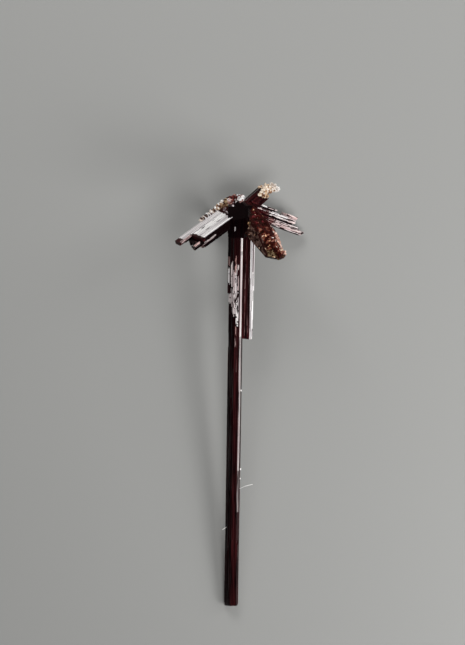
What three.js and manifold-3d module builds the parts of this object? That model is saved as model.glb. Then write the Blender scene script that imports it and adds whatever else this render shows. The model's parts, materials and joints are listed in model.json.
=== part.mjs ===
// Rutile starburst: a long, thin rutile prism whose head is twinned into a star of
// bladed arms, with grains of pale matrix and a rusty crust left on it. It lies on
// its side, as a loose crystal does, on two arm tips and the foot of the stem.
//
// Two frames are used. The crystal is built standing: +Z runs up the stem and the
// twin centre is the origin, so the stem and its splinters run down from z = 0. It is
// then laid down into the part's own frame, where +Z is up, +Y points from the foot
// to the head, and the origin is under the middle, on the surface it rests on.

import * as THREE from "three";
import { mergeVertices } from "three/addons/utils/BufferGeometryUtils.js";
import Module from "manifold-3d";

const wasm = await Module();
wasm.setup();

// ---- Driving dimensions: millimetres and degrees ----

const STEM_LENGTH = 32; // twin centre to the broken foot
const STEM_TOP = 0.2; // how far the prisms run on above the twin centre
const SIDE_LENGTH = 10; // twin centre to the end of the prism grown beside the stem
const KNOT_TOP = 0.42; // the knot of crystal between the arms: up from the twin centre
const KNOT_LENGTH = 1.65; // and down from it

const TWIN_AZIMUTH = 36.6; // of the right arm, about the stem; the others stand at quarter turns
const TWIN_DROOP = 24.4; // below square to the stem, the angle of a twin on {101}
const RISING_ANGLE = 30; // above square: the one arm that runs on upwards past the centre
const RISING_ROLL = -20; // of that arm about its own length

const RIGHT_LENGTH = 6.2; // each arm from the twin centre to its furthest blade's end
const LEFT_LENGTH = 5.38;
const FRONT_LENGTH = 5.3;
const BACK_LENGTH = 4.65;
const RISING_LENGTH = 2.5;

const STRIA_WIDTH = 0.16; // the strips that growth ledges break each prism face into
const STRIA_DEPTH = 0.035; // how far the deepest strip is set back
const BLADE_FACET = 0.05; // the narrow facets along a blade's four edges
const CRUST_DEPTH = 0.06; // of the rusty film over the fracture
const REST_FLAT = 0.08; // worn off the three points that the crystal lies on
const WELD = 0.002; // corners closer than this are one corner

// Where each random choice starts, so that every build is the same.
const SEED = { rutile: 11, front: 3, crest: 5, tip: 9, crust: 21 };

// ---- Prism outlines: x to the right and y to the back, seen down the stem ----

const STEM_OUTLINE = [
  [-0.9, 0.06],
  [-0.42, -0.43],
  [-0.06, -0.48],
  [0.17, -0.32],
  [0.19, 0.1],
  [-0.21, 0.44],
  [-0.6, 0.46],
  [-0.86, 0.28],
];

const SIDE_OUTLINE = [
  [0.05, -0.22],
  [0.6, -0.3],
  [0.9, -0.08],
  [0.96, 0.25],
  [0.6, 0.5],
  [0.1, 0.45],
];

const KNOT_OUTLINE = [
  [-1.02, 0.1],
  [-1.04, -1.15],
  [-0.62, -1.46],
  [0.2, -1.42],
  [0.65, -0.95],
  [0.85, -0.2],
  [0.8, 0.35],
  [0.2, 0.68],
  [-0.7, 0.6],
];

// ---- Blades: bars with square corners, from and to along their length ----
// x and y are across and up; the broken end leans by tilt towards the bearing.

const SPLINTERS = [
  { x: [-0.99, -0.66], y: [-0.14, 0.24], to: 6.35, tilt: 30, bearing: 90 },
  { x: [-0.8, -0.54], y: [-0.34, 0.0], to: 5.9, tilt: 30, bearing: 90 },
  { x: [-0.58, -0.34], y: [-0.52, -0.1], to: 8.0, tilt: 30, bearing: 90 },
  { x: [-0.33, -0.13], y: [-0.54, -0.2], to: 8.9, tilt: 30, bearing: 90 },
  { x: [-0.5, -0.1], y: [0.2, 0.56], to: 7.4, tilt: 30, bearing: 90 },
  { x: [0.72, 1.0], y: [-0.02, 0.22], to: 6.4, tilt: 40, bearing: 180 },
  { x: [0.66, 0.98], y: [-0.12, 0.1], to: 5.0, tilt: 50, bearing: 180 },
];

const LEFT_BLADES = [
  { x: [-1.5, -0.84], y: [0.02, 0.4], to: LEFT_LENGTH, tilt: 6, bearing: 90 },
  { x: [-0.87, 0.6], y: [-0.04, 0.37], to: LEFT_LENGTH - 1.15, tilt: 4, bearing: 0 },
  { x: [0.02, 0.61], y: [-0.14, 0.08], to: LEFT_LENGTH - 0.28, tilt: 12, bearing: 200 },
  { x: [-0.12, 0.58], y: [-0.43, -0.1], to: LEFT_LENGTH - 1.02, tilt: 20, bearing: 80 },
  { x: [-1.2, -0.05], y: [-0.4, 0.06], to: LEFT_LENGTH - 0.78, tilt: 15, bearing: 120 },
];

const RIGHT_BLADES = [
  { x: [-0.36, 0.3], y: [0.6, 0.91], from: 0.5, to: RIGHT_LENGTH - 2.1, tilt: 20, bearing: 70 },
  { x: [-0.42, 0.34], y: [0.25, 0.78], from: 0.3, to: RIGHT_LENGTH - 1.1, tilt: 12, bearing: 120 },
  { x: [-0.38, 0.38], y: [-0.01, 0.28], to: RIGHT_LENGTH - 0.5, tilt: 10, bearing: 160 },
  { x: [-0.43, 0.4], y: [-0.33, 0.02], to: RIGHT_LENGTH, tilt: 15, bearing: 90 },
];

const BACK_BLADES = [
  { x: [-0.5, 0.1], y: [-0.4, 0.3], to: BACK_LENGTH, tilt: 15, bearing: 60 },
  { x: [0.0, 0.5], y: [-0.46, 0.12], to: BACK_LENGTH - 0.5, tilt: 12, bearing: 200 },
  { x: [-0.3, 0.44], y: [0.05, 0.42], to: BACK_LENGTH - 1.1, tilt: 18, bearing: 20 },
];

const RISING_BLADES = [
  { x: [-0.35, 0.3], y: [-0.3, 0.44], from: -1, to: RISING_LENGTH, tilt: 15, bearing: 200 },
  { x: [-0.3, 0.35], y: [-0.66, -0.25], from: -1, to: RISING_LENGTH - 0.25, tilt: 15, bearing: 250 },
];

const FRONT_BLADES = [
  { x: [-0.66, 0.2], y: [-0.68, 0.3], to: FRONT_LENGTH - 0.1, tilt: 10, bearing: 40 },
  { x: [-0.1, 0.75], y: [-0.5, 0.45], to: FRONT_LENGTH, tilt: 12, bearing: 30 },
  { x: [-0.62, 1.0], y: [0.1, 0.66], to: FRONT_LENGTH - 0.2, tilt: 15, bearing: 60 },
  { x: [0.3, 1.34], y: [-0.1, 0.6], to: FRONT_LENGTH - 1, tilt: 15, bearing: 60 },
];

const radians = THREE.MathUtils.degToRad;
const vector = (x, y, z) => new THREE.Vector3(x, y, z);

// ---- Solids ----

// Numbers from 0 to 1 that are the same on every run.
function seeded(seed) {
  let state = seed * 2654435761;
  return () => {
    state = (state + 0x6d2b79f5) | 0;
    let mixed = Math.imul(state ^ (state >>> 15), 1 | state);
    mixed = (mixed + Math.imul(mixed ^ (mixed >>> 7), 61 | mixed)) ^ mixed;
    return ((mixed ^ (mixed >>> 14)) >>> 0) / 4294967296;
  };
}

const between = (random, low, high) => low + (high - low) * random();

// The corners of a geometry alone, with those that meet made one.
function welded(geometry, distance) {
  const bare = new THREE.BufferGeometry();
  bare.setAttribute("position", geometry.getAttribute("position"));
  bare.setIndex(geometry.index);
  return mergeVertices(bare, distance);
}

// A closed three.js geometry as a solid that can be joined and cut.
function solidOf(geometry) {
  const { attributes, index } = welded(geometry, 1e-5);
  return new wasm.Manifold(
    new wasm.Mesh({
      numProp: 3,
      vertProperties: new Float32Array(attributes.position.array),
      triVerts: new Uint32Array(index.array),
    }),
  );
}

function geometryOf(solid) {
  const mesh = solid.getMesh();
  const geometry = new THREE.BufferGeometry();
  const corners = new Float32Array(mesh.vertProperties);
  geometry.setAttribute("position", new THREE.BufferAttribute(corners, mesh.numProp));
  geometry.setIndex(new THREE.BufferAttribute(new Uint32Array(mesh.triVerts), 1));
  geometry.computeVertexNormals();
  return geometry;
}

const join = (solids) => wasm.Manifold.union(solids);
const placed = (solid, frame) => solid.transform(frame.elements);
const biggest = (solid) => solid.decompose().sort((a, b) => b.volume() - a.volume())[0];

// Takes off what lies beyond a plane, which is given by its normal and one point.
function cutBeyond(solid, normal, point) {
  const n = normal.clone().normalize();
  return solid.trimByPlane(n.clone().negate().toArray(), -n.dot(point));
}

// ---- Frames ----

// The frame of an arm: its own Z runs out along the arm, Y is its upper side, and X
// is level, a quarter turn on about the stem. rise is above square to the stem.
function armFrame(azimuth, rise, roll = 0) {
  const a = radians(azimuth);
  const r = radians(rise);
  const out = vector(Math.cos(r) * Math.cos(a), Math.cos(r) * Math.sin(a), Math.sin(r));
  const side = vector(-Math.sin(a), Math.cos(a), 0).applyAxisAngle(out, radians(roll));
  const upper = out.clone().cross(side);
  return new THREE.Matrix4().makeBasis(side, upper, out);
}

const rightFrame = armFrame(TWIN_AZIMUTH, -TWIN_DROOP);
const backFrame = armFrame(TWIN_AZIMUTH + 90, -TWIN_DROOP);
const leftFrame = armFrame(TWIN_AZIMUTH + 180, -TWIN_DROOP);
const frontFrame = armFrame(TWIN_AZIMUTH - 90, -TWIN_DROOP);
const risingFrame = armFrame(TWIN_AZIMUTH, RISING_ANGLE, RISING_ROLL);
const standing = new THREE.Matrix4();

// The frame of what grows down the stem. Its own Z runs down, which turns X around,
// so an outline is mirrored, and walked the other way, to come out as it is given.
const downFrame = new THREE.Matrix4().makeRotationY(Math.PI);
const mirrored = (outline) => outline.map(({ x, y }) => new THREE.Vector2(-x, y)).reverse();
const outlineOf = (points) => points.map(([x, y]) => new THREE.Vector2(x, y));

// ---- Prisms ----

// The outline of a prism with growth ledges on its sides: each straight side is
// broken into strips, and each strip but the outer two is set back a little.
function striated(random, corners) {
  const points = [];
  corners.forEach((start, i) => {
    const end = corners[(i + 1) % corners.length];
    const along = end.clone().sub(start);
    const length = along.length();
    const inward = new THREE.Vector2(-along.y, along.x).divideScalar(length);
    const strips = Math.round(length / STRIA_WIDTH);
    points.push(start);
    for (let k = 1; k < strips - 1; k++) {
      const depth = between(random, 0.2, 1) * STRIA_DEPTH;
      const from = (k + between(random, 0, 0.3)) / strips;
      const to = (k + 1 - between(random, 0, 0.3)) / strips;
      for (const [share, inset] of [[from, 0], [from, depth], [to, depth], [to, 0]])
        points.push(start.clone().lerp(end, share).addScaledVector(inward, inset));
    }
  });
  return points;
}

// A rectangle whose four corners are cut by narrow facets.
function barOutline([x0, x1], [y0, y1]) {
  const f = BLADE_FACET;
  return outlineOf([
    [x0 + f, y0],
    [x1 - f, y0],
    [x1, y0 + f],
    [x1, y1 - f],
    [x1 - f, y1],
    [x0 + f, y1],
    [x0, y1 - f],
    [x0, y0 + f],
  ]);
}

// A prism on an outline, along its own +Z. Its far end is broken off by a plane that
// leans by tilt towards the bearing, and crosses the prism's middle at the height to.
function prism(outline, { from = 0, to, tilt = 0, bearing = 0 }) {
  const spare = 1;
  const geometry = new THREE.ExtrudeGeometry(new THREE.Shape(outline), {
    depth: to - from + spare,
    bevelEnabled: false,
  });
  geometry.translate(0, 0, from);
  const normal = new THREE.Vector3().setFromSphericalCoords(1, radians(tilt), 0);
  normal.set(normal.z, 0, normal.y).applyAxisAngle(vector(0, 0, 1), radians(bearing));
  const middle = new THREE.Box2().setFromPoints(outline).getCenter(new THREE.Vector2());
  return cutBeyond(solidOf(geometry), normal, vector(middle.x, middle.y, to));
}

// A growth that runs down the stem.
function downwards(random, outline, span) {
  return placed(prism(striated(random, mirrored(outline)), { from: -STEM_TOP, ...span }), downFrame);
}

// A bundle of blades grown side by side, along a frame's own Z.
function bundle(random, frame, blades) {
  return join(
    blades.map(({ x, y, ...span }) => {
      const outline = striated(random, barOutline(x, y));
      return placed(prism(outline, { from: -0.4, ...span }), frame);
    }),
  );
}

// ---- The rutile crystal ----

const stem = (random) =>
  downwards(random, outlineOf(STEM_OUTLINE), { to: STEM_LENGTH, tilt: 14, bearing: 250 });

// The shorter prism grown side by side with the stem.
const sidePrism = (random) =>
  downwards(random, outlineOf(SIDE_OUTLINE), { to: SIDE_LENGTH, tilt: 6, bearing: 40 });

// Thin splinters laid along the upper stem, each ending where its growth stopped.
const splinters = (random) =>
  join(SPLINTERS.map(({ x, y, ...span }) => downwards(random, barOutline(x, y), span)));

// The stout knot that fills the corners between the arms and the top of the stem. It
// has a nearly level top and a slope down to its front.
function knot(random) {
  const from = -KNOT_TOP - 0.3;
  const outline = outlineOf(KNOT_OUTLINE);
  const body = downwards(random, outline, { from, to: KNOT_LENGTH, tilt: 6, bearing: 95 });
  const topped = cutBeyond(body, vector(-0.08, 0, 1), vector(0, 0, KNOT_TOP));
  return cutBeyond(topped, vector(-0.1, -0.6, 0.8), vector(-0.9, -0.75, 0.1));
}

// The fracture that took the front arm's upper left edge, in the arm's own frame.
const FRACTURE_NORMAL = vector(-1, 1, 0.5).normalize();
const FRACTURE_START = vector(-0.66, 0.66, 2.8);

// The front arm before it broke: broad at its root, thinning on its right side, with
// its lower corner knocked off. It is given in its own frame.
function wholeFrontArm() {
  const whole = bundle(seeded(SEED.front), standing, FRONT_BLADES);
  const thinned = cutBeyond(whole, vector(1, 1, 0.36), vector(1.34, 0.6, 0.7));
  return cutBeyond(thinned, vector(-0.6, -1, 1), vector(-0.66, -0.68, FRONT_LENGTH - 0.6));
}

const frontArm = () =>
  placed(cutBeyond(wholeFrontArm(), FRACTURE_NORMAL, FRACTURE_START), frontFrame);

// A closed shape with each corner moved in or out by up to a share of its distance.
function jittered(random, geometry, share) {
  const rough = welded(geometry, 1e-4);
  const position = rough.getAttribute("position");
  const corner = new THREE.Vector3();
  for (let i = 0; i < position.count; i++) {
    corner.fromBufferAttribute(position, i);
    corner.multiplyScalar(1 + between(random, -share, share));
    position.setXYZ(i, corner.x, corner.y, corner.z);
  }
  return solidOf(rough);
}

// The rounded lump inside the knot, where all the prisms meet.
const core = (random) =>
  jittered(random, new THREE.IcosahedronGeometry(0.85, 1), 0.12).translate([0.1, 0.1, -0.05]);

function rutile() {
  const random = seeded(SEED.rutile);
  const grown = [
    stem(random),
    sidePrism(random),
    splinters(random),
    knot(random),
    core(random),
    bundle(random, leftFrame, LEFT_BLADES),
    bundle(random, rightFrame, RIGHT_BLADES),
    bundle(random, backFrame, BACK_BLADES),
    bundle(random, risingFrame, RISING_BLADES),
    frontArm(),
  ];
  return biggest(join(grown).simplify(WELD));
}

// ---- Grains and crust ----

// Angular grains strung along a path in a frame, each within a spread of it.
function strewn(random, frame, { path, count, spread, radius: [small, large] }) {
  const curve = new THREE.CatmullRomCurve3(path.map((point) => vector(...point)));
  return join(
    Array.from({ length: count }, (_, i) => {
      const ball = new THREE.IcosahedronGeometry(between(random, small, large), 0);
      const offset = vector(random() - 0.5, random() - 0.5, random() - 0.5);
      const spot = curve.getPoint(i / (count - 1)).addScaledVector(offset, 2 * spread);
      const turn = new THREE.Euler(6 * random(), 6 * random(), 6 * random());
      const place = new THREE.Matrix4().makeRotationFromEuler(turn).setPosition(spot);
      return placed(placed(jittered(random, ball, 0.25), place), frame);
    }),
  );
}

// Pale grains of the rock it grew in, along the left arm's back edge and over the knot.
const CREST_STRINGS = [
  {
    path: [
      [-2.5, 0.02, -0.5],
      [-1.9, 0.45, -0.12],
      [-1.2, 0.9, 0.28],
      [-0.62, 1.15, 0.55],
      [-0.1, 0.9, 0.7],
      [0.1, 0.6, 0.72],
    ],
    count: 30,
    spread: 0.12,
    radius: [0.14, 0.25],
  },
  {
    path: [
      [-1.35, 0.55, 0.12],
      [-0.9, 0.6, 0.35],
      [-0.45, 0.55, 0.5],
    ],
    count: 7,
    spread: 0.1,
    radius: [0.14, 0.2],
  },
];

function crestGrains() {
  const random = seeded(SEED.crest);
  return join(CREST_STRINGS.map((string) => strewn(random, standing, string)));
}

// A sugary cluster of the same pale grains, which caps the rising arm.
const TIP_STRING = {
  path: [
    [0.0, -0.15, RISING_LENGTH - 0.7],
    [0.0, -0.25, RISING_LENGTH - 0.1],
    [0.0, -0.15, RISING_LENGTH + 0.75],
  ],
  count: 38,
  spread: 0.4,
  radius: [0.16, 0.26],
};

function tipGrains() {
  const random = seeded(SEED.tip);
  const heart = jittered(random, new THREE.IcosahedronGeometry(0.56, 1), 0.15);
  return join([
    placed(heart.translate([0, -0.15, RISING_LENGTH + 0.05]), risingFrame),
    strewn(random, risingFrame, TIP_STRING),
  ]);
}

// The rusty crust on the front arm's fracture, and its trail up the arm's edge.
const CRUST_STRINGS = [
  {
    path: [
      [-0.58, 0.56, 2.9],
      [-0.33, 0.33, 3.9],
      [-0.04, 0.02, 5.15],
    ],
    count: 16,
    spread: 0.14,
    radius: [0.13, 0.2],
  },
  {
    path: [
      [-0.6, 0.42, 3.1],
      [-0.54, 0.05, 4.2],
      [-0.42, -0.36, 5.0],
    ],
    count: 12,
    spread: 0.08,
    radius: [0.1, 0.18],
  },
  {
    path: [
      [-0.3, 0.58, 3.0],
      [0.0, 0.48, 4.2],
      [0.12, 0.12, 5.15],
    ],
    count: 14,
    spread: 0.08,
    radius: [0.1, 0.18],
  },
  {
    path: [
      [-0.62, 0.62, 1.2],
      [-0.62, 0.6, 2.9],
    ],
    count: 14,
    spread: 0.04,
    radius: [0.08, 0.12],
  },
];

function fractureCrust() {
  const random = seeded(SEED.crust);
  const above = FRACTURE_START.clone().addScaledVector(FRACTURE_NORMAL, CRUST_DEPTH);
  const below = FRACTURE_START.clone().addScaledVector(FRACTURE_NORMAL, -CRUST_DEPTH);
  const upTo = cutBeyond(wholeFrontArm(), FRACTURE_NORMAL, above);
  const film = cutBeyond(upTo, FRACTURE_NORMAL.clone().negate(), below);
  return join([
    placed(film, frontFrame),
    ...CRUST_STRINGS.map((string) => strewn(random, frontFrame, string)),
  ]);
}

// ---- Laying it down ----

// The lowest corner, once laid, among those between two heights up the stem.
function lowest(solid, lay, low = -Infinity, high = Infinity) {
  const { vertProperties, numProp } = solid.getMesh();
  const corner = new THREE.Vector3();
  let least = Infinity;
  for (let i = 0; i < vertProperties.length; i += numProp) {
    corner.fromArray(vertProperties, i);
    if (corner.z < low || corner.z > high) continue;
    least = Math.min(least, corner.applyMatrix4(lay).z);
  }
  return least;
}

// Turns the standing crystal onto its back. The arm tips hold the head up, so the
// stem slopes; each step brings the foot nearer to the height of the tips.
function layingTurn(solid) {
  const lay = new THREE.Matrix4();
  const steps = 8;
  let slope = 6;
  for (let step = 0; step < steps; step++) {
    lay.makeRotationX(radians(slope - 90));
    const tips = lowest(solid, lay, -STEM_LENGTH / 2);
    const foot = lowest(solid, lay, -Infinity, -STEM_LENGTH / 2);
    slope += THREE.MathUtils.radToDeg((foot - tips) / STEM_LENGTH);
  }
  return lay;
}

const crystal = rutile();
const lay = layingTurn(crystal);
const floor = lowest(crystal, lay) + REST_FLAT;
const laid = placed(crystal, lay).trimByPlane([0, 0, 1], floor);

// What is stuck to the crystal fills the space against it and never enters it.
const onCrystal = (solid) => biggest(placed(solid, lay).subtract(laid).simplify(WELD));

const pieces = {
  rutile_twin: [laid, { color: 0x2a0d10, roughness: 0.22, metalness: 0.1 }],
  crest_grains: [onCrystal(crestGrains()), { color: 0xcfc4b4, roughness: 0.6 }],
  tip_grains: [onCrystal(tipGrains()), { color: 0xd8c19a, roughness: 0.6 }],
  fracture_crust: [onCrystal(fractureCrust()), { color: 0x6b4020, roughness: 0.7 }],
};

const starburst = new THREE.Group();
const bounds = new THREE.Box3();
for (const [name, [solid, look]] of Object.entries(pieces)) {
  const mesh = new THREE.Mesh(geometryOf(solid), new THREE.MeshStandardMaterial(look));
  mesh.name = name;
  starburst.add(mesh);
  bounds.expandByObject(mesh);
}
const centre = bounds.getCenter(new THREE.Vector3());
for (const mesh of starburst.children) mesh.position.set(-centre.x, -centre.y, -floor);

export default starburst;
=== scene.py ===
import json
import math
import random

import bmesh
import bpy
from mathutils import Matrix, Quaternion, Vector, noise

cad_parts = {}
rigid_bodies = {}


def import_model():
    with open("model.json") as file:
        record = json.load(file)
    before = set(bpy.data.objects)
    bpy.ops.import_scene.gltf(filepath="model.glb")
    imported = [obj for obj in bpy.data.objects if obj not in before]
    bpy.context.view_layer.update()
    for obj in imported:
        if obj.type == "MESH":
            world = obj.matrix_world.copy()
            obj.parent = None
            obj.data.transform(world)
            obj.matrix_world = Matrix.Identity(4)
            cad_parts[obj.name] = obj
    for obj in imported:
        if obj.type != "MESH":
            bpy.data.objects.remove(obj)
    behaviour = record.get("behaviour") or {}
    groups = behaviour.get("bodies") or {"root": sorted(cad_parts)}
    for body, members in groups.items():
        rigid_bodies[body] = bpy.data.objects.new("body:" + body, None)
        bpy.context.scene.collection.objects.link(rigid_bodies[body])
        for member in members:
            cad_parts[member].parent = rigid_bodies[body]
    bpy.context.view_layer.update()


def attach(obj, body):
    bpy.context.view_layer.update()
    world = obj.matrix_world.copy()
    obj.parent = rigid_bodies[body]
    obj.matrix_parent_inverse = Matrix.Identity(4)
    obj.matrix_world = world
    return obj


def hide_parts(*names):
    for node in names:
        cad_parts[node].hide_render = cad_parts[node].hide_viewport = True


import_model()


# ---- The stem ----
# The long prism of rutile that the star stands on, grown with ledges down its
# sides, so that no facet is one flat mirror. It lies with its head raised on two
# arm tips. Sizes are millimetres; x is right and y is back, seen down the stem.

MM = 0.001
SLOPE = math.radians(6.188)
LAID_TURN = SLOPE - math.pi / 2
TWIN_CENTRE = Vector((0.0891, 14.9919, 3.8406))
# LAID takes the standing crystal, whose arms meet at the origin, to where it lies, with
# the stem rising by SLOPE. DOWN turns a growth over, so that it runs down the stem.
LAID = (
    Matrix.Scale(MM, 4)
    @ Matrix.Translation(TWIN_CENTRE)
    @ Matrix.Rotation(LAID_TURN, 4, "X")
)
DOWN = Matrix.Rotation(math.pi, 4, "Y")

STEM_LENGTH = 32
STEM_TOP = 0.2
STEM_BODY_END = STEM_LENGTH - 0.02
# Its broken foot: how far it leans from square and which way, in degrees.
STEM_BREAK = (14, 250)
# Its ledges: where they stop, how wide they are and how long they may be.
STEM_LEDGES = (STEM_LENGTH - 0.25, 0.09, 7)
STEM_OUTLINE = [
    (-0.9, 0.01),
    (-0.42, -0.43),
    (-0.05, -0.45),
    (0.12, -0.354),
    (0.19, -0.25),
    (0.19, 0.1),
    (-0.21, 0.44),
    (-0.6, 0.46),
    (-0.86, 0.28),
]
# How deep ledges step, what share of their places is taken, how short one may be, how
# long the gap after it, and how far its ends may lean, in degrees.
LEDGE_DEPTH = 0.035
LEDGE_SHARE = 0.75
SHORTEST_LEDGE = 0.2
LEDGE_GAP = 0.4
LEDGE_TILT = 35
# How far a ledge's edges stray inwards, in widths, and stay from the prism's corners, in
# sides. Then how far in its two edges lie, on flat ledges and on steep ones, as shares of
# LEDGE_LEAN, which is in depths, as is how deep it is rooted.
LEDGE_STRAY = (-0.1, 0.3)
LEDGE_MARGIN = 0.02
FLAT_LEDGES = [(0.1, 0.1), (0.3, 0.1)]
STEEP_LEDGES = [(0.1, 1), (1, 0.1)]
LEDGE_LEAN = 0.8
LEDGE_ROOT = 2


def mirrored(outline):
    """An outline for a growth that runs down, whose own Z is turned about Y."""
    return [(-x, y) for x, y in outline][::-1]


def sides(outline):
    """Each side of an outline as its start, its run and its unit normal inwards."""
    corners = [Vector(corner) for corner in outline]
    for start, end in zip(corners, corners[1:] + corners[:1]):
        run = end - start
        yield start, run, Vector((-run.y, run.x)).normalized()


def set_back(outline, depth):
    """The outline with every side moved in by depth."""
    moved = []
    edges = list(sides(outline))
    for (a, run_a, in_a), (b, run_b, in_b) in zip(edges[-1:] + edges[:-1], edges):
        pa, pb = a + in_a * depth, b + in_b * depth
        share = (pb - pa).cross(run_b) / run_a.cross(run_b)
        moved.append(tuple(pa + run_a * share))
    return moved


def break_height(point, middle, to, tilt, bearing):
    """How high a leaning break crosses the prism at a point of its outline."""
    x, y = point[0] - middle[0], point[1] - middle[1]
    turn = math.radians(bearing)
    lean = math.tan(math.radians(tilt))
    return to - lean * (x * math.cos(turn) + y * math.sin(turn))


def prism(outline, low, to, place, tilt=0, bearing=0, tone=0.5, looks=None):
    """A closed prism on an outline along its own Z. Its faces carry the way that it
    grew and how it looks: a tone, and how pale and sheened, pitted, dull and red, from 0
    to 1; the pale sheen is partly etching and partly painted highlight. Its
    looks are the same all over, or a function that gives them for a face."""
    n = len(outline)
    xs, ys = zip(*outline)
    middle = ((min(xs) + max(xs)) / 2, (min(ys) + max(ys)) / 2)
    points = [Vector((x, y, low)) for x, y in outline]
    points += [Vector((x, y, break_height((x, y), middle, to, tilt, bearing))) for x, y in outline]
    faces = [(i, (i + 1) % n, (i + 1) % n + n, i + n) for i in range(n)]
    faces += [tuple(range(n))[::-1], tuple(range(n, 2 * n))]
    mesh = bpy.data.meshes.new("prism")
    mesh.from_pydata(points, [], faces)
    grown = (LAID @ place).to_3x3().col[2].normalized()
    looks = looks or {}
    given = [looks(f.normal, f.center) if callable(looks) else looks for f in mesh.polygons]
    for name, usual in (("silky", 0.0), ("pitted", 0.0), ("dull", 0.0), ("red", 0.3)):
        values = [marks.get(name, usual) for marks in given]
        mesh.attributes.new(name, "FLOAT", "FACE").data.foreach_set("value", values)
    mesh.attributes.new("tone", "FLOAT", "FACE").data.foreach_set("value", [tone] * (n + 2))
    mesh.attributes.new("growth", "FLOAT_VECTOR", "FACE").data.foreach_set(
        "vector", list(grown) * (n + 2)
    )
    mesh.transform(place)
    return mesh


def ledges(rng, outline, low, high, pitch, run, looks):
    """Thin strips laid along a prism's sides, each starting and stopping where its
    growth did, and each leaning a little from its neighbours. Those on its left lie
    flatter."""
    made = []
    for start, along, inward in sides(outline):
        leans = FLAT_LEDGES + STEEP_LEDGES * (inward.x > -0.5)
        count = round(along.length / pitch)
        for k in range(count):
            z = low - rng.uniform(0, run)
            while z < high:
                stop = z + rng.uniform(0.25, 1) * run
                t0 = (k + rng.uniform(*LEDGE_STRAY)) / count
                t1 = (k + 1 - rng.uniform(*LEDGE_STRAY)) / count
                a = start + along * max(t0, LEDGE_MARGIN)
                b = start + along * min(t1, 1 - LEDGE_MARGIN)
                lean_a, lean_b = rng.choice(leans)
                quad = [
                    a + inward * LEDGE_DEPTH * lean_a * LEDGE_LEAN,
                    b + inward * LEDGE_DEPTH * lean_b * LEDGE_LEAN,
                    b + inward * LEDGE_DEPTH * LEDGE_ROOT,
                    a + inward * LEDGE_DEPTH * LEDGE_ROOT,
                ]
                bottom, top = max(z, low), min(stop, high)
                if rng.random() < LEDGE_SHARE and top - bottom > SHORTEST_LEDGE:
                    corners = [tuple(corner) for corner in quad]
                    end = (rng.uniform(0, LEDGE_TILT), rng.uniform(0, 360))
                    made.append(prism(corners, bottom, top, DOWN, *end, rng.random(), looks))
                z = stop + rng.uniform(0, LEDGE_GAP)
    return made


def ledged(rng, outline, low, to, end, steps, tone, looks):
    """A prism that runs down the crystal, with ledges on its sides."""
    outline = mirrored(outline)
    core = prism(set_back(outline, LEDGE_DEPTH), low, to, DOWN, *end, tone, looks)
    return [core] + ledges(rng, outline, low, *steps, looks)


def stem_looks(normal, middle):
    """Black on the left, painted shade where its faces turn from the light, dark red on the right,
    and etched here and there at the back.
    X is to the left here, as the prism runs down."""
    if normal.y > 0.3:
        return {"silky": 0.45, "red": 0.5}
    return {"red": 0.1 if normal.x > 0.5 else 0.6}


rng = random.Random(11)
grown = ledged(
    rng, STEM_OUTLINE, -STEM_TOP, STEM_BODY_END, STEM_BREAK, STEM_LEDGES, 0.4, stem_looks
)

# The narrow facet on its right is pale, a painted highlight of the light on its right, less so
# further down; it starts a little way below the knot, whose shade falls above that: start, stop
# and how much.
FACET = [(-0.04, -0.446), (0.095, -0.369), (0.08, -0.33), (-0.06, -0.41)]
FACET_OVERLAP = 0.03
FACET_RUNS = [
    (1.9, 3.1, 1.0),
    (3.1, 3.4, 0.6),
    (3.4, 6.6, 0.9),
    (6.6, 9.8, 0.85),
    (9.8, 14.2, 0.48),
    (14.2, 17.8, 0.4),
    (17.8, 20.6, 0.45),
    (20.6, 24.0, 0.32),
]
for start, stop, silky in FACET_RUNS:
    looks = {"silky": silky, "red": 0.42}
    grown.append(prism(mirrored(FACET), start - FACET_OVERLAP, stop, DOWN, looks=looks))

# Specks of dust on its right edge: x, y, how far down and how large. Two hairs of lint
# stick out from it further down, the first in two straight runs: the ends of each run.
DUST = [(0.15, -0.33, 14.08, 0.05), (0.19, -0.22, 20.5, 0.06), (0.19, -0.2, 21.3, 0.04)]
LINT = [
    ((0.1, -0.25, 22.15), (0.65, -0.3, 21.85)),
    ((0.6, -0.3, 21.88), (1.15, -0.22, 21.75)),
    ((-0.8, -0.05, 25.4), (-1.1, -0.1, 25.6)),
]
HAIR = 0.013
DUST_BREAK = (30, 40)
DUST_LOOKS = {"silky": 1.0}


def square(half):
    """A square outline, by half its width."""
    return [(-half, -half), (half, -half), (half, half), (-half, half)]


def set_on(point, direction):
    """A place at a point, with its Z along a direction."""
    turn = Vector((0, 0, 1)).rotation_difference(Vector(direction)).to_matrix()
    return Matrix.Translation(point) @ turn.to_4x4()


for x, y, down, size in DUST:
    speck = mirrored([(x - size, y), (x, y - size), (x + size, y), (x, y + size)])
    grown.append(prism(speck, down - size, down + size, DOWN, *DUST_BREAK, 1, DUST_LOOKS))
for ends in LINT:
    start, stop = (Vector((x, y, -down)) for x, y, down in ends)
    run = stop - start
    grown.append(prism(square(HAIR), 0, run.length, set_on(start, run), looks=DUST_LOOKS))


# ---- The side prism and the splinters ----
# A shorter prism grown against the right of the stem, and thin splinters laid along
# the stem's front and edges. All are rutile, and each ends where its growth stopped.

SIDE_LENGTH = 10
SIDE_BREAK = (6, 40)
SIDE_LEDGES = (SIDE_LENGTH - 0.15, 0.09, 4)
SIDE_OUTLINE = [
    (0.05, -0.22),
    (0.7, -0.25),
    (0.94, -0.12),
    (0.96, 0.25),
    (0.6, 0.5),
    (0.1, 0.45),
]
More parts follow.
